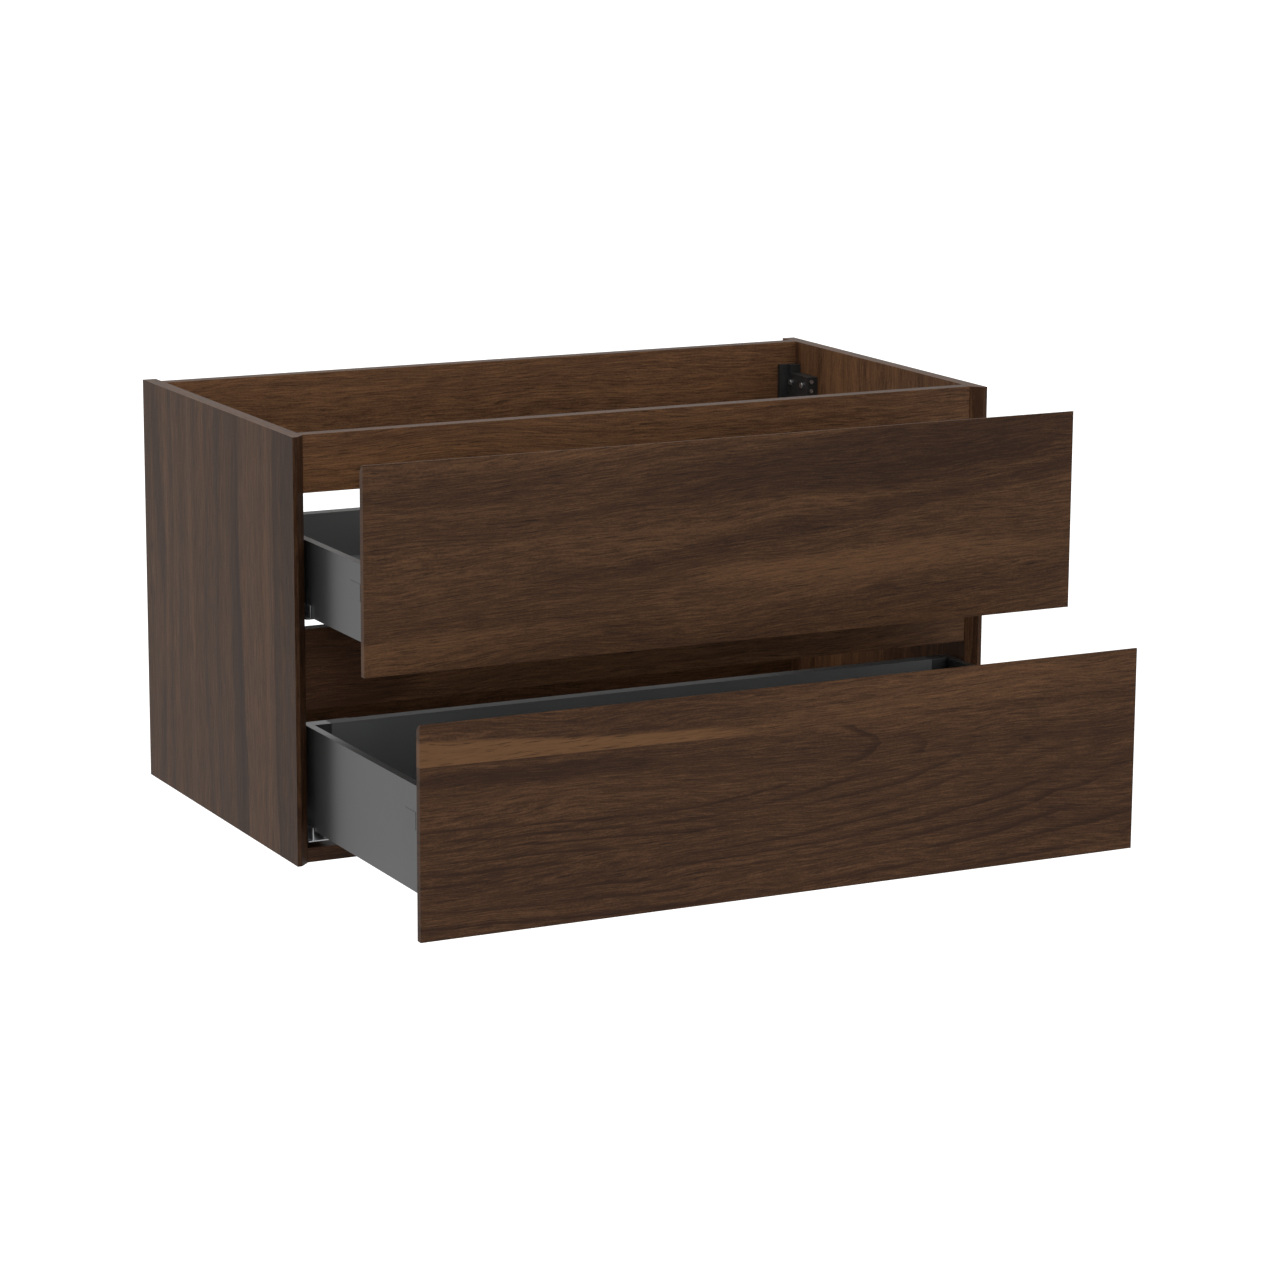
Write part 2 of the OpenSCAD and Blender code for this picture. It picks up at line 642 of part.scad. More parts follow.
module upper_side_right() { color(anthracite) drawer_side(upper_open, upper); }
module lower_side_left() { color(anthracite) left() drawer_side(lower_open, lower); }
module lower_side_right() { color(anthracite) drawer_side(lower_open, lower); }

module drawer_base(open, level) {
  x = side_in_x - base_play;
  z = base_z(level);
  drawer(open) difference() {
    block([-x, x], [front_back_y + base_play, box_end_y], [z, z + base_t]);
    both() for (y = base_screw_ys)
      bar_z(screw_d + 2 * fit_gap, z - cut, z + panel_bore, base_screw_x, y);
  }
}
module upper_base() { color(anthracite) drawer_base(upper_open, upper); }
module lower_base() { color(anthracite) drawer_base(lower_open, lower); }

// Back board between the two back brackets, standing on the base
module drawer_back(open, level) {
  drawer(open) difference() {
    block([-bracket_in_x, bracket_in_x], [box_end_y - board, box_end_y],
          [floor_z(level), top_z(level)]);
    both() for (s = back_screw_zs(level))
      bar_y(screw_d + 2 * fit_gap, box_end_y - panel_bore, box_end_y + cut, back_screw_x, s);
  }
}
module upper_back() { color(walnut_light) drawer_back(upper_open, upper); }
module lower_back() { color(walnut_light) drawer_back(lower_open, lower); }

// Folded corner shoe, with a rear tab that covers the side's end and laps the back board
module back_bracket(open, level) {
  y0 = box_end_y - board;
  z0 = floor_z(level);
  x1 = side_in_x - fit_gap;
  drawer(open) difference() {
    union() {
      block([bracket_in_x + fit_gap, x1], [y0, box_end_y], [z0, top_z(level)]);
      block([bracket_in_x - back_tab, box_x], [box_end_y, box_end_y + sheet], [z0, top_z(level)]);
    }
    block([bracket_in_x - cut, x1 - sheet], [y0 + sheet, box_end_y], [z0 - cut, top_z(level) - sheet]);
    for (s = back_screw_zs(level))
      bar_y(screw_d + 2 * screw_clear, box_end_y - cut, box_end_y + sheet + cut, back_screw_x, s);
  }
}
module upper_back_bracket_left() { color(anthracite) left() back_bracket(upper_open, upper); }
module upper_back_bracket_right() { color(anthracite) back_bracket(upper_open, upper); }
module lower_back_bracket_left() { color(anthracite) left() back_bracket(lower_open, lower); }
module lower_back_bracket_right() { color(anthracite) back_bracket(lower_open, lower); }

// Plate screwed to the front's rear, with a tongue inside the hollow side
module front_brackets(open, level) {
  x = [side_in_x + sheet + sheet_play, box_x - sheet - sheet_play];
  z = foot_z(level);
  drawer(open) both() difference() {
    union() {
      block(x, [front_back_y, front_back_y + bracket_t],
            [z + bracket_plate_z[0], z + bracket_plate_z[1]]);
      block([side_mid_x - bracket_t, side_mid_x + bracket_t],
            [front_back_y + bracket_t - join, front_back_y + bracket_tongue_l],
            [z + bracket_tongue_z[0], z + bracket_tongue_z[1]]);
    }
    for (s = front_screw_zs(level))
      bar_y(screw_d + 2 * screw_clear, front_back_y - cut, front_back_y + bracket_t + cut,
            side_mid_x, s);
  }
}
module upper_front_brackets() { color(zinc) front_brackets(upper_open, upper); }
module lower_front_brackets() { color(zinc) front_brackets(lower_open, lower); }
module bracket_caps(open, level) {
  drawer(open) both()
    block([box_x - sheet, box_x + cap_proud], cap_y(cap_play), cap_z(level, cap_play));
}
module upper_bracket_caps() { color(anthracite) bracket_caps(upper_open, upper); }
module lower_bracket_caps() { color(anthracite) bracket_caps(lower_open, lower); }

// Drawer member: a channel under the side's foot, which runs on the upper rollers
module drawer_member(open, level) {
  z = foot_z(level) - sheet;
  drawer(open) {
    block([member_in_x, member_out_x], member_ys, [z, z + sheet]);
    for (x = [member_in_x, member_out_x - sheet])
      block([x, x + sheet], member_ys, [z - member_leg, z + join]);
  }
}
module upper_drawer_member_left() { color(zinc) left() drawer_member(upper_open, upper); }
module upper_drawer_member_right() { color(zinc) drawer_member(upper_open, upper); }
module lower_drawer_member_left() { color(zinc) left() drawer_member(lower_open, lower); }
module lower_drawer_member_right() { color(zinc) drawer_member(lower_open, lower); }

// Screws of one drawer: front brackets, base and back
module drawer_screws(open, level) {
  head = side_w - 2 * (sheet + sheet_play);
  y0 = front_back_y + bracket_t;
  y1 = box_end_y + sheet;
  z = foot_z(level);
  drawer(open) both() {
    for (s = front_screw_zs(level)) {
      bar_y(head, y0, y0 + screw_head_h, side_mid_x, s);
      bar_y(screw_d, front_back_y - panel_bore + bore_rest, y0, side_mid_x, s);
    }
    for (y = base_screw_ys) {
      bar_z(small_head_d, z - screw_head_h, z, base_screw_x, y);
      bar_z(screw_d, z, z + sheet + panel_bore - bore_rest, base_screw_x, y);
    }
    for (s = back_screw_zs(level)) {
      bar_y(screw_head_d, y1, y1 + screw_head_h, back_screw_x, s);
      bar_y(screw_d, box_end_y - panel_bore + bore_rest, y1, back_screw_x, s);
    }
  }
}
module upper_screws() { color(zinc) drawer_screws(upper_open, upper); }
module lower_screws() { color(zinc) drawer_screws(lower_open, lower); }

side_panel_left();
side_panel_right();
bottom_panel();
front_top_rail();
front_mid_rail();
rear_top_rail();
rear_bottom_rail();
wood_dowels();
cam_housings();
cam_bolts();
hanger_housing_left();
hanger_housing_right();
hanger_fixing_screws();
hanger_adjusting_screws();
hanger_hook_left();
hanger_hook_right();
wall_plate_left();
wall_plate_right();
upper_runner_profile_left();
upper_runner_profile_right();
lower_runner_profile_left();
lower_runner_profile_right();
runner_screws();
upper_middle_member_left();
upper_middle_member_right();
upper_rollers();
lower_middle_member_left();
lower_middle_member_right();
lower_rollers();
upper_front();
upper_side_left();
upper_side_right();
upper_back();
upper_base();
upper_drawer_member_left();
upper_drawer_member_right();
upper_back_bracket_left();
upper_back_bracket_right();
upper_front_brackets();
upper_bracket_caps();
upper_screws();
lower_front();
lower_side_left();
lower_side_right();
lower_back();
lower_base();
lower_drawer_member_left();
lower_drawer_member_right();
lower_back_bracket_left();
lower_back_bracket_right();
lower_front_brackets();
lower_bracket_caps();
lower_screws();
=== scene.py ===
import json
import math
from collections import namedtuple

import bmesh
import bpy
from mathutils import Matrix, Vector


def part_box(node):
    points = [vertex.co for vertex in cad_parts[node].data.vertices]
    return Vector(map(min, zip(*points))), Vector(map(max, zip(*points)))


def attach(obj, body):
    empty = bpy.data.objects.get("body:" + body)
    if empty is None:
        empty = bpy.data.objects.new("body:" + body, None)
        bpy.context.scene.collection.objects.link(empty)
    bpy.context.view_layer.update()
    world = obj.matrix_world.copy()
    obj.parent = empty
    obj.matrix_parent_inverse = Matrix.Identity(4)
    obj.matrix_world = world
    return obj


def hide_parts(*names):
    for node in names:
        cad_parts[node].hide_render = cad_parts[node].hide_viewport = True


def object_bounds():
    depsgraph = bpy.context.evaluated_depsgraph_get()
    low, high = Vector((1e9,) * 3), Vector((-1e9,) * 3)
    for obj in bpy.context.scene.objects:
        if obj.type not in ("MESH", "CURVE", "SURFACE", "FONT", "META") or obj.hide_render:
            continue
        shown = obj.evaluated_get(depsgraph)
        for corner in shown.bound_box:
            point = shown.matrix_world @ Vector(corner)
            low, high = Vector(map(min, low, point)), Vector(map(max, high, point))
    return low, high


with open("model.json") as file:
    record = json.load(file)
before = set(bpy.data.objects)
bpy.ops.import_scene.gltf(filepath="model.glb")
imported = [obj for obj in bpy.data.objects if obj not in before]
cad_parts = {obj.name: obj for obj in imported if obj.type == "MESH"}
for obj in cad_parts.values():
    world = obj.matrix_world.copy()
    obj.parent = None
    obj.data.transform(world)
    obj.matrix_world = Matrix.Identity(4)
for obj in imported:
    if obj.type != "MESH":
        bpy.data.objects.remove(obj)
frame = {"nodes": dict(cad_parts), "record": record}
CAD_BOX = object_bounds()
NODES = frame["nodes"]
RECORD = frame["record"]
BODY_OF = {n: body for body, names in RECORD["behaviour"]["bodies"].items() for n in names}
LEVELS = ("upper", "lower")
SIDES = ("left", "right")
MM = 0.001

# ---------------------------------------------------------------- camera, light and floor
AZIMUTH, ELEVATION, ROLL = 26.89, 12.10, 0.31  # degrees
DISTANCE = 4.563  # metres from the target
FOCAL, SENSOR_WIDTH = 113.7, 36  # millimetres
CLIP_END = 100
TARGET = Vector((0.0064, -0.4146, -0.2209))
FLOOR_DROP = 0.85  # the cabinet hangs on a wall, well above the floor
FLOOR_SIZE, FLOOR_CENTRE_Y = 80, 20
FLOOR_TONES = [(0.3, (0.89, 0.89, 0.89)), (0.7, (0.91, 0.91, 0.91))]
FLOOR_ROUGHNESS, FLOOR_GLOW = 0.9, 0.35
WHITE = (1, 1, 1, 1)
WORLD_ON_OBJECT, WORLD_IN_VIEW = 0.75, 1.0

Lamp = namedtuple("Lamp", "name source strength spread")  # spread is its width in degrees
LAMPS = [
    Lamp("front_panel", (0.15, -1.0, 0.15), 0.63, 30),
    Lamp("top_panel", (-0.35, -0.25, 1.0), 1.0, 70),
]


def make_camera():
    """The camera stands left of the front and a little above, as far off as the perspective says."""
    a, e = math.radians(AZIMUTH), math.radians(ELEVATION)
    forward = Vector((math.sin(a) * math.cos(e), math.cos(a) * math.cos(e), -math.sin(e)))
    data = bpy.data.cameras.new("camera")
    data.lens = FOCAL
    data.sensor_width = SENSOR_WIDTH
    data.clip_end = CLIP_END
    camera = bpy.data.objects.new("camera", data)
    turn = forward.to_track_quat("-Z", "Y").to_matrix().to_4x4()
    place = Matrix.Translation(TARGET - forward * DISTANCE)
    camera.matrix_world = place @ turn @ Matrix.Rotation(math.radians(ROLL), 4, "Z")
    bpy.context.scene.collection.objects.link(camera)
    bpy.context.scene.camera = camera


def make_stage():
    """A pale floor that glows a little and lights nothing."""
    low, _ = CAD_BOX
    bpy.ops.mesh.primitive_plane_add(size=FLOOR_SIZE, location=(0, FLOOR_CENTRE_Y, low[2] - FLOOR_DROP))
    floor = bpy.context.object
    floor.name = "floor"
    t = Tree("floor")
    grain = t.noise(t.coords(), 9, detail=3)
    t.shader(t.ramp(grain, FLOOR_TONES), FLOOR_ROUGHNESS, Emission_Color=WHITE, Emission_Strength=FLOOR_GLOW)
    floor.data.materials.append(t.material)
    floor.visible_diffuse = False
    floor.visible_glossy = False


def make_lights():
    """White light from all round, brighter to the camera than to the object, and two wide soft lamps."""
    world = bpy.data.worlds.new("studio")
    world.use_nodes = True
    nodes, links = world.node_tree.nodes, world.node_tree.links
    background = nodes["Background"]
    background.inputs["Color"].default_value = WHITE
    seen = nodes.new("ShaderNodeLightPath")
    level = nodes.new("ShaderNodeMapRange")
    level.inputs["To Min"].default_value = WORLD_ON_OBJECT
    level.inputs["To Max"].default_value = WORLD_IN_VIEW
    links.new(seen.outputs["Is Camera Ray"], level.inputs["Value"])
    links.new(level.outputs["Result"], background.inputs["Strength"])
    bpy.context.scene.world = world
    for lamp in LAMPS:
        soft_lamp(lamp)


def soft_lamp(lamp):
    data = bpy.data.lights.new(lamp.name, "SUN")
    data.energy = lamp.strength
    data.angle = math.radians(lamp.spread)
    sun = bpy.data.objects.new(lamp.name, data)
    sun.rotation_euler = Vector(lamp.source).to_track_quat("Z", "Y").to_euler()
    bpy.context.scene.collection.objects.link(sun)


# ---------------------------------------------------------------- material nodes
class Tree:
    """Short calls that build one material's nodes."""

    def __init__(self, name):
        self.material = bpy.data.materials.new(name)
        self.material.use_nodes = True
        self.nodes = self.material.node_tree.nodes
        self.links = self.material.node_tree.links
        self.nodes.clear()

    def put(self, socket, value):
        if isinstance(value, bpy.types.NodeSocket):
            self.links.new(value, socket)
        elif isinstance(value, (tuple, list)) and len(value) == 3 and socket.type == "RGBA":
            socket.default_value = (*value, 1)
        else:
            socket.default_value = value

    def coords(self):
        return self.nodes.new("ShaderNodeTexCoord").outputs["Object"]

    def split(self, vector):
        node = self.nodes.new("ShaderNodeSeparateXYZ")
        self.put(node.inputs[0], vector)
        return node.outputs[0], node.outputs[1], node.outputs[2]

    def join(self, x, y, z):
        node = self.nodes.new("ShaderNodeCombineXYZ")
        for socket, value in zip(node.inputs, (x, y, z)):
            self.put(socket, value)
        return node.outputs[0]

    def math(self, operation, a, b=0.0, c=0.0):
        node = self.nodes.new("ShaderNodeMath")
        node.operation = operation
        for socket, value in zip(node.inputs, (a, b, c)):
            self.put(socket, value)
        return node.outputs[0]

    def inverse(self, mask):
        return self.math("SUBTRACT", 1, mask)

    def swing(self, value, noise, weight):
        """value plus the noise's swing about its middle, times weight."""
        return self.math("MULTIPLY_ADD", self.math("SUBTRACT", noise, 0.5), weight, value)

    def scaled(self, vector, scale):
        node = self.nodes.new("ShaderNodeVectorMath")
        node.operation = "MULTIPLY"
        self.put(node.inputs[0], vector)
        self.put(node.inputs[1], scale)
        return node.outputs[0]

    def noise(self, vector, scale, detail=2.0, rough=0.5):
        """Noise between 0 and 1. scale is in cells per metre, one for all axes or one for each."""
        node = self.nodes.new("ShaderNodeTexNoise")
        cells = scale if isinstance(scale, tuple) else (scale, scale, scale)
        self.put(node.inputs["Vector"], self.scaled(vector, cells))
        node.inputs["Scale"].default_value = 1
        node.inputs["Detail"].default_value = detail
        node.inputs["Roughness"].default_value = rough
        return node.outputs[0]

    def grain(self, place, layer):
        """Noise drawn out along a board's grain."""
        return self.noise(place, (layer.along, layer.across, layer.across), layer.detail, layer.rough)

    def step(self, value, low, high):
        """Smooth 0 to 1 as value goes from low to high."""
        node = self.nodes.new("ShaderNodeMapRange")
        node.interpolation_type = "SMOOTHSTEP"
        self.put(node.inputs["Value"], value)
        self.put(node.inputs["From Min"], low)
        self.put(node.inputs["From Max"], high)
        return node.outputs["Result"]

    def ramp(self, value, stops):
        node = self.nodes.new("ShaderNodeValToRGB")
        self.put(node.inputs[0], value)
        points = node.color_ramp.elements
        while len(points) < len(stops):
            points.new(1)
        for point, (place, color) in zip(points, stops):
            point.position = place
            point.color = (*color, 1)
        return node.outputs[0]

    def mix(self, factor, a, b, blend="MIX"):
        node = self.nodes.new("ShaderNodeMix")
        node.data_type = "RGBA"
        node.blend_type = blend
        self.put(node.inputs[0], factor)
        self.put(node.inputs[6], a)
        self.put(node.inputs[7], b)
        return node.outputs[2]

    def bump(self, height, depth, strength):
        """Relief of that depth in metres."""
        node = self.nodes.new("ShaderNodeBump")
        node.inputs["Strength"].default_value = strength
        node.inputs["Distance"].default_value = depth
        self.put(node.inputs["Height"], height)
        return node.outputs[0]

    def shader(self, color, roughness, normal=None, **fixed):
        node = self.nodes.new("ShaderNodeBsdfPrincipled")
        self.put(node.inputs["Base Color"], color)
        self.put(node.inputs["Roughness"], roughness)
        if normal is not None:
            self.put(node.inputs["Normal"], normal)
        for name, value in fixed.items():
            node.inputs[name.replace("_", " ")].default_value = value
        out = self.nodes.new("ShaderNodeOutputMaterial")
        self.links.new(node.outputs[0], out.inputs[0])


# ---------------------------------------------------------------- walnut foil
# Colours from the darkest streaks to the lightest, the pale sapwood and the pores
WALNUT = [
    (0.00, (0.030, 0.0138, 0.0072)),
    (0.30, (0.0475, 0.0214, 0.0105)),
    (0.50, (0.064, 0.0300, 0.0143)),
    (0.72, (0.0885, 0.0420, 0.0192)),
    (1.00, (0.124, 0.0592, 0.0266)),
]
SAPWOOD = (0.150, 0.073, 0.031)
PORE = (0.012, 0.007, 0.0045)

# Noise in cells per metre along and across the grain. weight is how far it swings what it works on: the
# tone, a place in metres for WANDER, SHAKE and RING_WAVE, or a lens's edge in half sizes for BLUR.
Layer = namedtuple("Layer", "along across detail rough weight", defaults=(None,))
WANDER = Layer(2.6, 9, 2, 0.5, 0.050)
SHAKE = Layer(14, 60, 2, 0.5, 0.006)
ZONES = Layer(1.5, 16, 3, 0.55, 0.62)
STREAKS = Layer(3.2, 110, 4, 0.62, 0.66)
FIBRES = Layer(30, 640, 3, 0.7, 1.7)
SPECKLE = Layer(420, 900, 2, 0.5, 0.7)
STRIPES = Layer(0.7, 62, 3, 0.6, 0.95)
BLUR = Layer(7, 45, 3, 0.5, 1.1)
PORES = Layer(34, 760, 2, 0.6)
RING_WAVE = Layer(5, 26, 4, 0.5, 0.018)
RING_PATCHES = Layer(3.5, 40, 2, 0.5)

PORE_LIMITS, PORE_SHOWS = (0.31, 0.42), 0.62
FOIL_ROUGHNESS, STREAK_ROUGHNESS = 0.36, 0.12
FOIL_SPECULAR = 0.09
FOIL_RELIEF, RELIEF_STRENGTH, FIBRE_RELIEF = 0.0001, 0.45, 0.5
LENS_LIMITS = (0.45, 1.15)  # where a lens starts to fade and where it ends, in half sizes
CRISP = 0.0015  # width of a band's hard edge
JOINT_BLUR = 0.0004  # half the width of the line where two strips of wood meet
JOINT_SHIFT = 0.83  # how far apart in the noise the two strips are
EDGE_BAND_SEED = 9.5
SAPWOOD_RAGGED = 0.016
SAPWOOD_EDGE = (-0.002, 0.003)

# u is the distance along the board from its low end, v is the distance down from its high edge.
# A mark is a soft lens of another tone. A band runs the whole length, from a soft edge to a crisp one.
Mark = namedtuple("Mark", "u v half_length half_width slope tone")
Band = namedtuple("Band", "start end slope soft tone")
# Two strips meet at v = start + slope * u. Above the line lies sapwood, from pale_start + pale_slope * u
# down, which fades out between the two ends.
Joint = namedtuple("Joint", "start slope pale_start pale_slope pale_ends")
# Rings are nested arches about a line through their tip. taper holds their slope before and after bend.
Rings = namedtuple("Rings", "tip_u tip_v axis_slope spread bend taper pitch")

RING_TONE = -0.46
RING_OFFSET = 20  # whole rings, so that the count stays above zero
RING_LINE = (0.58, 0.94, 1.0)  # where in a ring its dark line starts, is darkest and ends
RING_FIRST = (-0.006, -0.002)
RING_TIPS = (0.003, 0.007)
RING_PATCH_LIMITS = (0.36, 0.60)
ARM_LIMITS = (-0.012, 0.010)  # only the arms below the axis show
ARM_FLATTENS, ARM_FLATTENING = (0.02, 0.15), -0.5
PAST_TIPS, PAST_DEPTH, PAST_FADE = (0.56, 0.68), (0.030, 0.055), -0.75


def walnut(node, along, across, seed, tone=0.0, lift=1.0, tilt=0.0, marks=(), bands=(), striped=False,
           rings=None, joint=None, tag=""):
    """Walnut foil for one board. along and across name the axes of the grain and of the width. tilt slopes
    the grain, striped adds stripes that run the whole length, and lift scales the colour."""
    t = Tree("walnut_" + node + tag)
    u, v, w, side = board_place(t, node, along, across, seed, joint)
    bent = t.swing(v, t.grain(t.join(u, v, w), WANDER), WANDER.weight)
    bent = t.swing(bent, t.grain(t.join(u, v, w), SHAKE), SHAKE.weight)
    bent = t.math("MULTIPLY_ADD", u, tilt, bent)
    place = t.join(u, bent, w)
    streaks = t.grain(place, STREAKS)
    fibres = t.grain(place, FIBRES)
    value = t.swing(0.5 + tone, t.grain(place, ZONES), ZONES.weight)
    value = t.swing(value, streaks, STREAKS.weight)
    value = t.swing(value, fibres, FIBRES.weight)
    value = t.swing(value, t.grain(place, SPECKLE), SPECKLE.weight)
    if striped:
        value = t.swing(value, t.grain(place, STRIPES), STRIPES.weight)
    for band in bands:
        value = t.math("MULTIPLY_ADD", band_mask(t, u, bent, band), band.tone, value)
    blur = t.grain(place, BLUR)
    for mark in marks:
        value = t.math("MULTIPLY_ADD", lens_mask(t, u, bent, blur, mark), mark.tone, value)
    if rings:
        value = t.math("MULTIPLY_ADD", ring_lines(t, u, v, place, side, rings), RING_TONE, value)
    color = t.ramp(value, WALNUT)
    if joint:
        color = t.mix(sapwood_mask(t, u, v, side, streaks, fibres, joint), color, SAPWOOD)
    color = t.mix(1.0, color, (lift, lift, lift), "MULTIPLY")
    pore = t.inverse(t.step(t.grain(place, PORES), *PORE_LIMITS))
    color = t.mix(t.math("MULTIPLY", pore, PORE_SHOWS), color, PORE)
    rough = t.math("MULTIPLY_ADD", streaks, STREAK_ROUGHNESS, FOIL_ROUGHNESS)
    relief = t.math("MULTIPLY_ADD", pore, -1.0, t.math("MULTIPLY", fibres, FIBRE_RELIEF))
    t.shader(color, rough, t.bump(relief, FOIL_RELIEF, RELIEF_STRENGTH), Specular_IOR_Level=FOIL_SPECULAR)
    return t.material


def board_place(t, node, along, across, seed, joint):
    """A point's u and v on the board, its depth in the noise, and 1 below the joint or 0 above it."""
    low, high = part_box(node)
    axis = dict(zip("xyz", t.split(t.coords())))
    depth = ({"x", "y", "z"} - {along, across}).pop()
    u = t.math("SUBTRACT", axis[along], low["xyz".index(along)])
    v = t.math("SUBTRACT", high["xyz".index(across)], axis[across])
    w = t.math("ADD", axis[depth], seed)
    if joint is None:
        return u, v, w, 0.0
    line = t.math("MULTIPLY_ADD", u, joint.slope, joint.start)
    side = t.step(t.math("SUBTRACT", v, line), -JOINT_BLUR, JOINT_BLUR)
    return u, v, t.math("MULTIPLY_ADD", side, JOINT_SHIFT, w), side


def sapwood_mask(t, u, v, side, streaks, fibres, joint):
    """1 on the pale strip above the joint, with a ragged upper edge, broken up by the fibres."""
    below = t.math("SUBTRACT", v, t.math("MULTIPLY_ADD", u, joint.pale_slope, joint.pale_start))
    ragged = t.swing(below, streaks, SAPWOOD_RAGGED)
    pale = t.math("MULTIPLY", t.step(ragged, *SAPWOOD_EDGE), t.inverse(side))
    pale = t.math("MULTIPLY", pale, t.inverse(t.step(u, *joint.pale_ends)))
    return t.math("MULTIPLY", pale, t.math("MULTIPLY_ADD", fibres, 0.5, 0.5))


def band_mask(t, u, v, band):
    place = t.math("MULTIPLY_ADD", u, -band.slope, v)
    past_start = t.step(place, band.start, band.start + band.soft)
    return t.math("SUBTRACT", past_start, t.step(place, band.end, band.end + CRISP))


def lens_mask(t, u, v, blur, mark):
    """1 in the middle of a long lens, fading to 0 outside it."""
    du = t.math("SUBTRACT", u, mark.u)
    dv = t.math("SUBTRACT", t.math("SUBTRACT", v, mark.v), t.math("MULTIPLY", du, mark.slope))
    du = t.math("MULTIPLY", du, 1 / mark.half_length)
    dv = t.math("MULTIPLY", dv, 1 / mark.half_width)
    reach = t.math("SQRT", t.math("MULTIPLY_ADD", du, du, t.math("MULTIPLY", dv, dv)))
    return t.inverse(t.step(t.swing(reach, blur, BLUR.weight), *LENS_LIMITS))


def ring_lines(t, u, v, place, side, rings):
    """Dark late-wood lines of a flat-sawn board: nested arches that open away from their tips."""
    before, after = rings.taper
    du = t.math("SUBTRACT", u, rings.tip_u)
    off = t.math("SUBTRACT", v, t.math("MULTIPLY_ADD", du, rings.axis_slope, rings.tip_v))
    arch = t.math("SQRT", t.math("MULTIPLY_ADD", off, off, rings.spread * rings.spread))
    arch = t.math("SUBTRACT", arch, rings.spread)
    run = t.math("MULTIPLY", t.math("MAXIMUM", t.math("SUBTRACT", u, rings.bend), 0), after - before)
    run = t.math("ADD", run, t.math("MULTIPLY", u, before))
    start = rings.tip_u * before + (rings.tip_u - rings.bend) * (after - before)
    level = t.math("MULTIPLY_ADD", t.step(off, *ARM_FLATTENS), ARM_FLATTENING, 1)
    rho = t.math("MULTIPLY_ADD", t.math("SUBTRACT", run, start), level, arch)
    rho = t.swing(rho, t.grain(place, RING_WAVE), RING_WAVE.weight)
    count = t.math("DIVIDE", t.math("ADD", rho, RING_OFFSET * rings.pitch), rings.pitch)
    phase = t.math("FRACT", count)
    opens, peak, ends = RING_LINE
    edge = t.math("MULTIPLY", t.step(phase, opens, peak), t.inverse(t.step(phase, peak, ends)))
    patchy = t.step(t.grain(place, RING_PATCHES), *RING_PATCH_LIMITS)
    first = t.step(rho, *RING_FIRST)
    tips = t.inverse(t.step(rho, *RING_TIPS))
    past = t.math("MULTIPLY", t.step(u, *PAST_TIPS), t.inverse(t.step(off, *PAST_DEPTH)))
    arms = t.math("MULTIPLY", t.step(off, *ARM_LIMITS), t.math("MULTIPLY_ADD", past, PAST_FADE, 1))
    lines = t.math("MULTIPLY", t.math("MULTIPLY", edge, patchy), t.math("MULTIPLY", first, side))
    return t.math("MULTIPLY", lines, t.math("MAXIMUM", arms, tips))


# ---------------------------------------------------------------- metal, plastic and other boards
COAT_SPECULAR, MELAMINE_SPECULAR = 0.88, 0.35
SCRATCH_SHARE = 0.35
SPANGLE_SCALE = 240
SPANGLE = [(0, (0.40, 0.41, 0.42)), (1, (0.62, 0.63, 0.64))]
SCRATCH = [(0.3, (0.36, 0.37, 0.38)), (0.7, (0.66, 0.67, 0.68))]
BEECH = [(0.3, (0.42, 0.27, 0.14)), (0.7, (0.60, 0.42, 0.24))]
ANTHRACITE = (0.029, 0.0295, 0.030)
CAP_GREY = (0.030, 0.0305, 0.031)
BASE_GREY = (0.098, 0.101, 0.101)
BACK_GREY = (0.128, 0.131, 0.131)
BRIGHT_ZINC = (0.66, 0.66, 0.67)
CAST_ZINC = (0.50, 0.50, 0.51)
HANGER_BLACK = (0.018, 0.018, 0.0175)
ACETAL = (0.72, 0.70, 0.62)


def shades(color, low, high, start):
    """Ramp stops for a colour's darker and lighter shade, the same way in from both ends."""
    return [(start, tuple(c * low for c in color)), (1 - start, tuple(c * high for c in color))]


def powder_coat(name, color, rough):
    t = Tree(name)
    p = t.coords()
    grain = t.noise(p, 1500)
    cloud = t.noise(p, 9, detail=3)
    t.shader(t.ramp(cloud, shades(color, 0.90, 1.10, 0.35)), t.math("MULTIPLY_ADD", grain, 0.10, rough),
             t.bump(grain, 0.02 * MM, 0.4), Specular_IOR_Level=COAT_SPECULAR)
    return t.material


def melamine(name, color):
    t = Tree(name)
    p = t.coords()
    pearl = t.noise(p, 700, detail=3, rough=0.7)
    cloud = t.noise(p, 6)
    t.shader(t.ramp(cloud, shades(color, 0.88, 1.12, 0.35)), t.math("MULTIPLY_ADD", pearl, 0.14, 0.45),
             t.bump(pearl, 0.06 * MM, 0.6), Specular_IOR_Level=MELAMINE_SPECULAR)
    return t.material


def galvanised(name):
    """Zinc crystals with fine scratches along the depth of the cabinet."""
    t = Tree(name)
    p = t.coords()
    spangle = t.nodes.new("ShaderNodeTexVoronoi")
    spangle.inputs["Scale"].default_value = SPANGLE_SCALE
    t.put(spangle.inputs["Vector"], p)
    tone = t.split(spangle.outputs["Color"])[0]
    scratch = t.noise(p, (700, 12, 700), detail=3)
    color = t.mix(SCRATCH_SHARE, t.ramp(tone, SPANGLE), t.ramp(scratch, SCRATCH))
    rough = t.math("MULTIPLY_ADD", tone, 0.12, t.math("MULTIPLY_ADD", scratch, 0.10, 0.26))
    t.shader(color, rough, t.bump(scratch, 0.03 * MM, 0.4), Metallic=1.0)
    return t.material


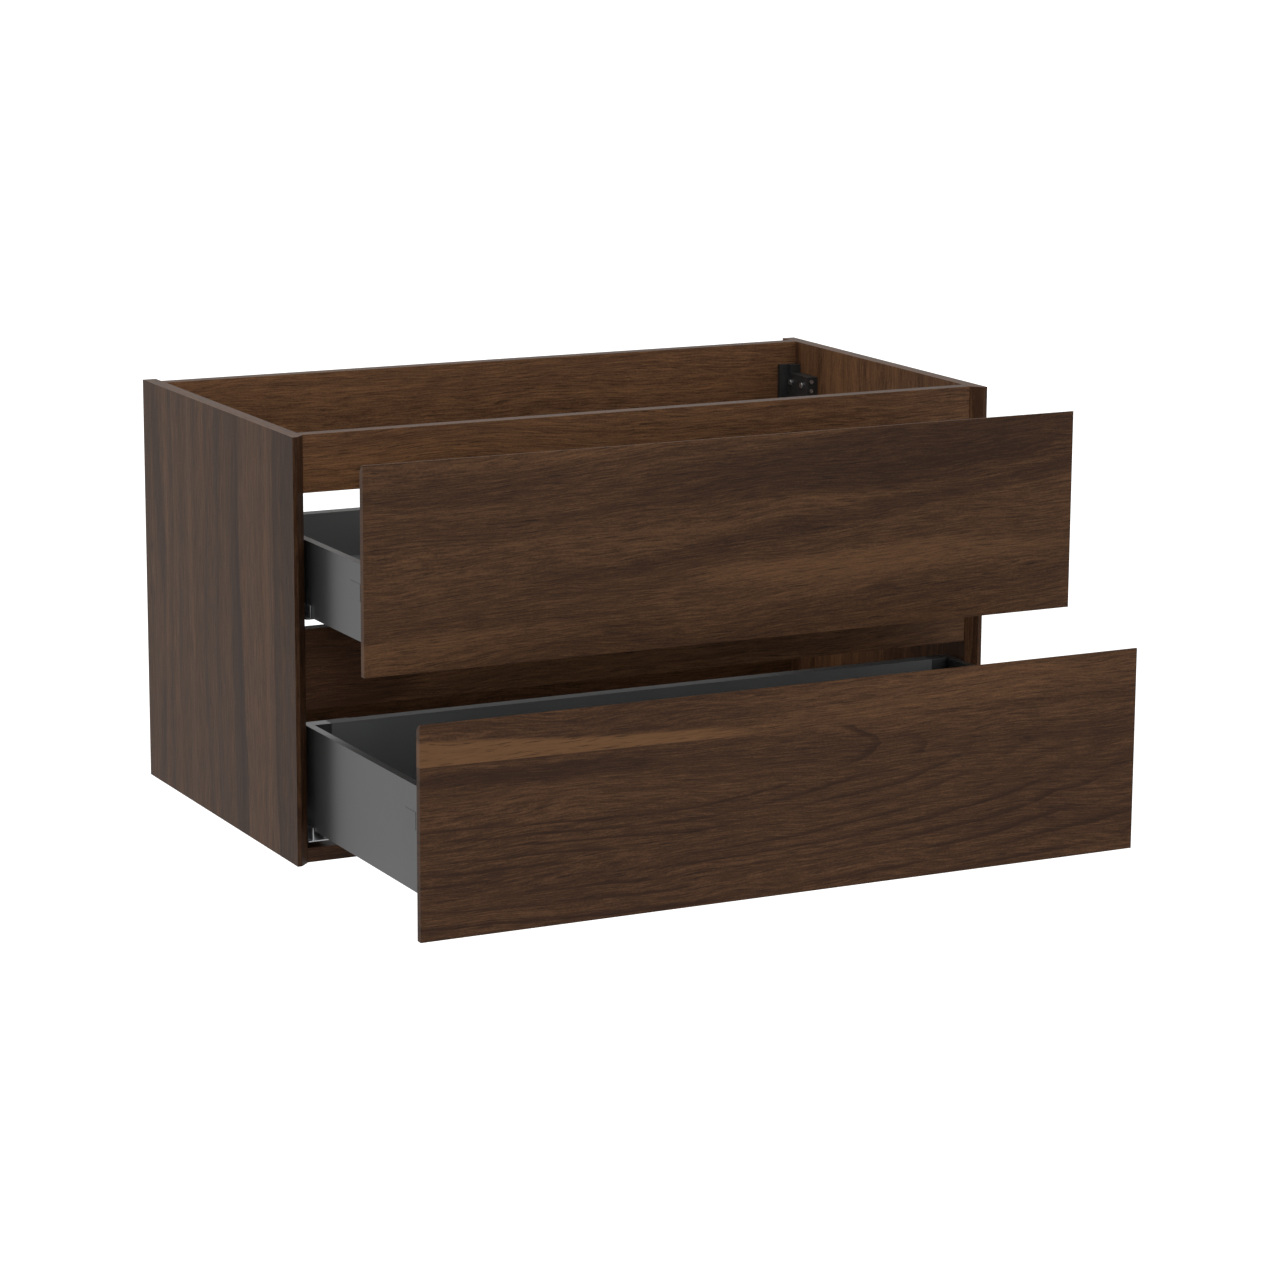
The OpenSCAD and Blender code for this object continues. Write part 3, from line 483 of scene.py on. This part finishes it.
def zinc_plate(name, color, rough):
    t = Tree(name)
    cloud = t.noise(t.coords(), 420, detail=3)
    t.shader(t.ramp(cloud, shades(color, 0.82, 1.08, 0.3)), t.math("MULTIPLY_ADD", cloud, 0.18, rough),
             t.bump(cloud, 0.02 * MM, 0.4), Metallic=1.0)
    return t.material


def moulded(name, color, rough):
    t = Tree(name)
    p = t.coords()
    spark = t.noise(p, 2200)
    flow = t.noise(p, 60)
    t.shader(t.ramp(flow, shades(color, 0.85, 1.15, 0.3)), t.math("MULTIPLY_ADD", spark, 0.12, rough),
             t.bump(spark, 0.04 * MM, 0.6))
    return t.material


def beech(name):
    t = Tree(name)
    fibres = t.noise(t.coords(), (90, 900, 900), detail=3)
    t.shader(t.ramp(fibres, BEECH), t.math("MULTIPLY_ADD", fibres, 0.15, 0.55),
             t.bump(fibres, 0.06 * MM, 0.5))
    return t.material


# ---------------------------------------------------------------- pieces
WELD = 0.002 * MM
FLAT_ANGLE = math.radians(0.5)
EDGE_ANGLE = math.radians(32)
EDGE_SEGMENTS = 2
FACE_WEIGHT = 100
LOOKS_UP = 0.7

# Rounding of the edges of each kind of piece, in millimetres
ROUNDING = {
    "board": 0.5, "side": 0.5, "back_bracket": 0.4, "back": 0.4, "base": 0.4, "bracket_caps": 0.15,
    "runner_profile": 0.25, "middle_member": 0.2, "drawer_member": 0.25, "rollers": 0.1,
    "front_brackets": 0.2, "screws": 0.15, "hanger_housing": 0.6, "hanger_hook": 0.3, "wall_plate": 0.3,
    "wood_dowels": 0.4, "cam_housings": 0.2, "cam_bolts": 0.2, "runner_screws": 0.2,
    "hanger_fixing_screws": 0.3, "hanger_adjusting_screws": 0.2,
}


def softened(node, kind, materials, pick=None):
    """A finished piece for a CAD node: its shape with whole flat faces and rounded edges."""
    bm = bmesh.new()
    bm.from_mesh(NODES[node].data)
    bmesh.ops.remove_doubles(bm, verts=bm.verts, dist=WELD)
    bmesh.ops.dissolve_limit(bm, angle_limit=FLAT_ANGLE, verts=bm.verts, edges=bm.edges)
    mesh = bpy.data.meshes.new(node + "_finished")
    bm.to_mesh(mesh)
    bm.free()
    mesh.shade_smooth()
    piece = bpy.data.objects.new(node + "_finished", mesh)
    bpy.context.scene.collection.objects.link(piece)
    bevel = piece.modifiers.new("edges", "BEVEL")
    bevel.width = ROUNDING[kind] * MM
    bevel.segments = EDGE_SEGMENTS
    bevel.limit_method = "ANGLE"
    bevel.angle_limit = EDGE_ANGLE
    bevel.use_clamp_overlap = True
    bevel.miter_outer = "MITER_ARC"
    piece.modifiers.new("flat_faces", "WEIGHTED_NORMAL").weight = FACE_WEIGHT
    bake_modifiers(piece)
    for material in materials:
        piece.data.materials.append(material)
    if pick:
        for face in piece.data.polygons:
            face.material_index = pick(face)
    return stand_for(piece, node)


def bake_modifiers(piece):
    shape = piece.evaluated_get(bpy.context.evaluated_depsgraph_get())
    mesh = bpy.data.meshes.new_from_object(shape)
    old = piece.data
    piece.modifiers.clear()
    piece.data = mesh
    bpy.data.meshes.remove(old)


def stand_for(piece, node):
    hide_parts(node)
    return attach(piece, BODY_OF[node])


def top_edge(face):
    """Second material, the edge band, on the faces that look up."""
    return int(face.normal[2] > LOOKS_UP)


def board(node, foil, along, across):
    """A board with foil on its faces and an edge band on top, whose grain runs along."""
    band = walnut(node, along, across, EDGE_BAND_SEED, tag="_band")
    softened(node, "board", [foil, band], pick=top_edge)


def fitting(kind, material, level="", side=""):
    """One piece of a kind, at its level and on its side where it has them."""
    softened("_".join(word for word in (level, kind, side) if word), kind, [material])


def make_side_panels():
    """Upright grain, with the dark band and the pale band that run the left panel's whole height."""
    bands = {
        "left": [Band(0.262, 0.312, -0.036, 0.030, -0.26), Band(0.312, 0.405, -0.030, 0.001, 0.12),
                 Band(0.405, 0.4535, 0.0, 0.001, -0.22)],
        # On the right panel the last band darkens the front lip again, so that the painted light of that
        # panel's lift stays on its inner face.
        "right": [Band(0.200, 0.275, 0.02, 0.020, 0.10), Band(0.405, 0.470, 0.0, 0.002, -0.10),
                  Band(0.452, 0.470, 0.0, 0.001, -0.45)],
    }
    marks = [
        Mark(0.36, 0.045, 0.16, 0.018, -0.10, -0.30),
        Mark(0.06, 0.050, 0.09, 0.014, 0.10, -0.24),
        Mark(0.23, 0.150, 0.40, 0.016, 0.0, 0.14),
    ]
    # The right panel's lift of 1.62 is painted light: it brightens the inner face, which stands in the
    # cabinet's shade.
    for side, seed, lift in (("left", 1.3, 0.86), ("right", 2.9, 1.62)):
        node = "side_panel_" + side
        foil = walnut(node, "z", "y", seed, tone=0.03, lift=lift, marks=marks, bands=bands[side],
                      striped=True)
        board(node, foil, "y", "x")


def make_rails():
    """The bottom panel and the rails. The rails in view get painted light, a lift that makes up for the
    cabinet's shade on them, and painted shade darkens the mid rail's left end.
    """
    softened("bottom_panel", "board", [walnut("bottom_panel", "x", "y", 0.7, tone=-0.30)])
    # Painted shade darkens the left end of the mid rail.
    painted_shade_end = [Mark(0.02, 0.045, 0.13, 0.080, 0.0, -0.55)]
    for node, seed, lift, marks in (
            ("front_top_rail", 4.1, 1.50, []), ("front_mid_rail", 5.3, 1.40, painted_shade_end),
            ("rear_top_rail", 6.2, 1.68, []), ("rear_bottom_rail", 7.7, 1.0, [])):
        board(node, walnut(node, "x", "z", seed, tone=0.1, lift=lift, marks=marks), "x", "y")


def make_fronts():
    """The upper front has soft dark and light lenses; the light ones low on it are partly painted light
    against the lower drawer's shade. The lower one has a pale strip above a joint, and ring lines below it."""
    marks = [
        Mark(0.62, 0.052, 0.36, 0.036, -0.03, -0.30),
        Mark(0.55, 0.112, 0.36, 0.014, -0.10, -0.30),
        Mark(0.10, 0.035, 0.18, 0.020, 0.0, -0.18),
        Mark(0.43, 0.008, 0.45, 0.010, 0.0, 0.20),
        # These three light lenses low on the front are partly the wood's own figure and partly painted light
        # against the shade the lower drawer casts there.
        Mark(0.48, 0.180, 0.22, 0.034, -0.06, 0.20),
        Mark(0.64, 0.172, 0.28, 0.026, 0.05, 0.20),
        Mark(0.12, 0.205, 0.20, 0.022, 0.0, 0.22),
    ]
    foil = walnut("upper_front", "x", "z", 3.1, lift=0.95, tilt=0.03, marks=marks)
    board("upper_front", foil, "x", "y")
    joint = Joint(start=0.044, slope=0.011, pale_start=0.018, pale_slope=0.055, pale_ends=(0.30, 0.42))
    rings = Rings(tip_u=0.525, tip_v=0.072, axis_slope=0.08, spread=0.030, bend=0.312,
                  taper=(0.091, 0.234), pitch=0.0145)
    marks = [
        Mark(0.62, 0.020, 0.30, 0.040, 0.0, 0.22),
        Mark(0.14, 0.062, 0.19, 0.013, 0.0, -0.40),
        Mark(0.80, 0.075, 0.12, 0.020, 0.0, -0.14),
        Mark(0.20, 0.105, 0.26, 0.018, 0.0, 0.08),
    ]
    foil = walnut("lower_front", "x", "z", 5.7, tone=-0.10, lift=0.97, marks=marks, rings=rings, joint=joint)
    board("lower_front", foil, "x", "y")


def make_drawers():
    coat = powder_coat("anthracite_coat", ANTHRACITE, 0.26)
    base = melamine("grey_melamine", BASE_GREY)
    back = melamine("grey_back_board", BACK_GREY)
    cap = powder_coat("grey_plastic", CAP_GREY, 0.28)
    for level in LEVELS:
        for side in SIDES:
            fitting("side", coat, level, side)
            fitting("back_bracket", coat, level, side)
        fitting("back", back, level)
        fitting("base", base, level)
        fitting("bracket_caps", cap, level)


def make_fittings():
    sheet = galvanised("galvanised_sheet")
    plate = zinc_plate("bright_zinc", BRIGHT_ZINC, 0.24)
    cast = zinc_plate("zinc_casting", CAST_ZINC, 0.42)
    black = moulded("black_plastic", HANGER_BLACK, 0.36)
    acetal = moulded("acetal", ACETAL, 0.35)
    for level in LEVELS:
        for side in SIDES:
            fitting("runner_profile", sheet, level, side)
            fitting("middle_member", sheet, level, side)
            fitting("drawer_member", sheet, level, side)
        fitting("rollers", acetal, level)
        fitting("front_brackets", sheet, level)
        fitting("screws", plate, level)
    for side in SIDES:
        fitting("hanger_housing", black, side=side)
        fitting("hanger_hook", sheet, side=side)
        fitting("wall_plate", sheet, side=side)
    fitting("wood_dowels", beech("beech"))
    fitting("cam_housings", cast)
    fitting("cam_bolts", plate)
    fitting("runner_screws", plate)
    fitting("hanger_fixing_screws", plate)
    fitting("hanger_adjusting_screws", plate)


make_camera()
make_lights()
make_stage()
make_side_panels()
make_rails()
make_fronts()
make_drawers()
make_fittings()
bpy.context.scene.view_settings.view_transform = "Standard"
